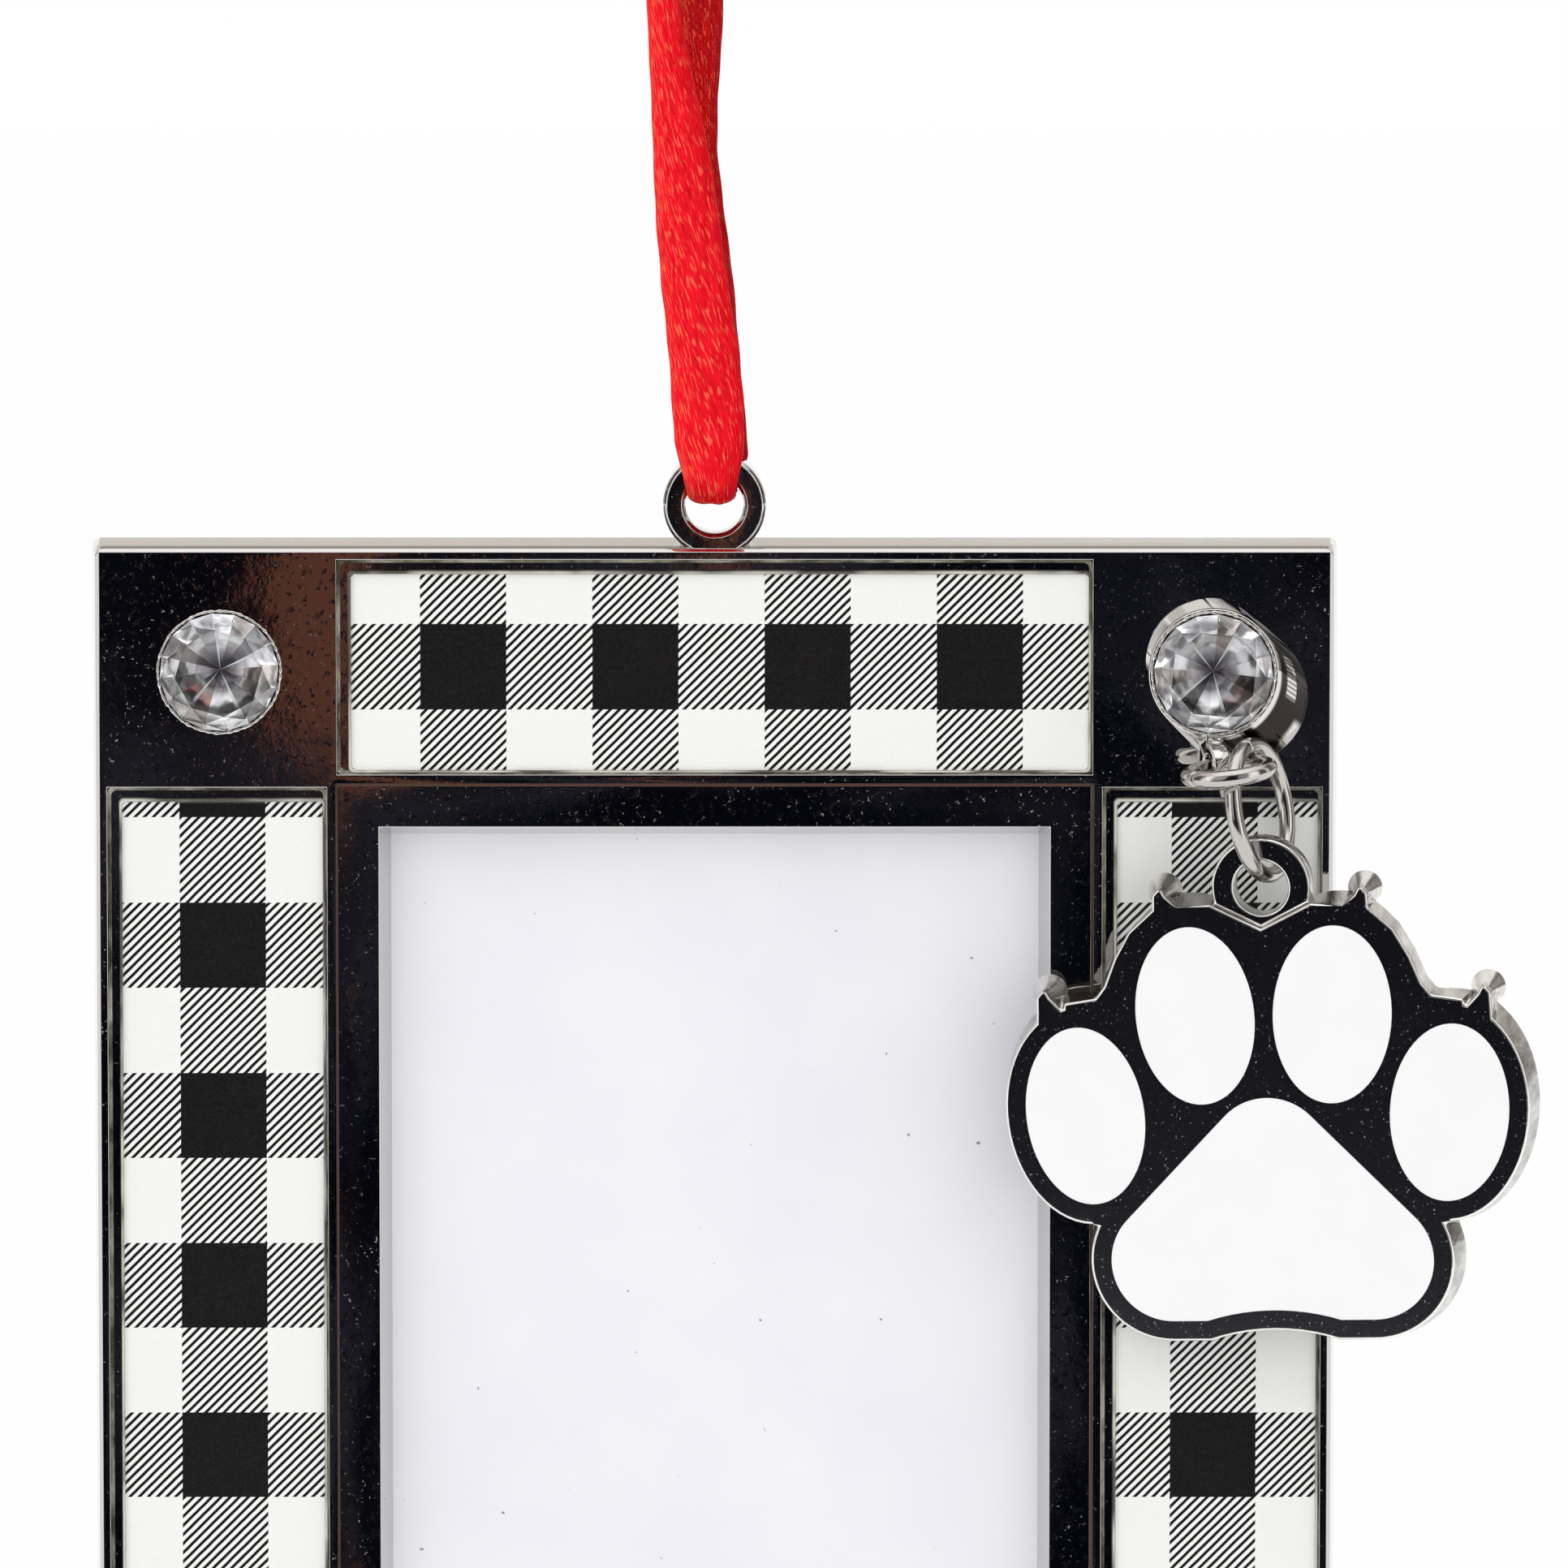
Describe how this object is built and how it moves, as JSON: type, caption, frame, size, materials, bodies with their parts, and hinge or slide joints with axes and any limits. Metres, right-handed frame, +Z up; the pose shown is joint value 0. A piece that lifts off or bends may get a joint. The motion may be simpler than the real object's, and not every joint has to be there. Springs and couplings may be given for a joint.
{
  "type": "picture frame ornament",
  "caption": "Small plated picture frame on a red satin ribbon, with checked borders, cut stones at its corners and a paw charm that dangles on two jump rings.",
  "frame": {"origin": "the hanging point inside the top of the ribbon's loop, straight above the middle of the frame", "axes": "+Z up, the picture side faces -Y, +X to the right as seen from the front"},
  "size_m": [0.0772, 0.0134, 0.138],
  "materials": {
    "bright_plating": "polished plating, slightly rippled, with fine dust",
    "ring_wire": "bright plated wire",
    "charm_plating": "bright plating with a fine sandy cast face",
    "back_plate": "plain satin plate",
    "card": "smooth white card",
    "strip_paper": "white printed paper",
    "ink_black": "black ink",
    "ink_twill": "fine slanting black lines on white",
    "clear_resin": "clear glossy resin, faintly yellow at its edges",
    "cut_stone": "clear cut stone with a silvered back",
    "white_enamel": "smooth white enamel",
    "red_satin": "red satin ribbon"
  },
  "bodies": {
    "frame": {"frame_casting": "bright_plating", "back_plate": "back_plate", "photo_card": "card", "print_top": "strip_paper", "print_bottom": "strip_paper", "print_left": "strip_paper", "print_right": "strip_paper", "check_black_top": "ink_black", "check_black_bottom": "ink_black", "check_black_left": "ink_black", "check_black_right": "ink_black", "check_twill_top": "ink_twill", "check_twill_bottom": "ink_twill", "check_twill_left": "ink_twill", "check_twill_right": "ink_twill", "resin_top": "clear_resin", "resin_bottom": "clear_resin", "resin_left": "clear_resin", "resin_right": "clear_resin", "stone_cup": "bright_plating", "stone_top_left": "cut_stone", "stone_top_right": "cut_stone", "stone_bottom_left": "cut_stone", "stone_bottom_right": "cut_stone", "ribbon": "red_satin", "ribbon_knot": "red_satin"},
    "upper_link": {"upper_ring": "ring_wire"},
    "lower_link": {"lower_ring": "ring_wire"},
    "charm": {"paw_casting": "charm_plating", "enamel_pad": "white_enamel", "enamel_toe_1": "white_enamel", "enamel_toe_2": "white_enamel", "enamel_toe_3": "white_enamel", "enamel_toe_4": "white_enamel"}
  },
  "joints": [
    {"name": "upper_ring_lift", "type": "hinge", "parent": "frame", "child": "upper_link", "pos_m": [0.0266, -0.00475, -0.06432], "axis": [-0.9438, -0.3012, -0.1357], "range_deg": [0, 3]},
    {"name": "lower_ring_swing", "type": "hinge", "parent": "upper_link", "child": "lower_link", "pos_m": [0.02859, -0.00515, -0.0641], "axis": [-0.4151, -0.9095, 0.0227], "range_deg": [0, 6]},
    {"name": "charm_swing", "type": "hinge", "parent": "lower_link", "child": "charm", "pos_m": [0.02909, -0.00608, -0.0705], "axis": [0.1648, 0.9849, 0.0523], "range_deg": [-25, 15]}
  ]
}
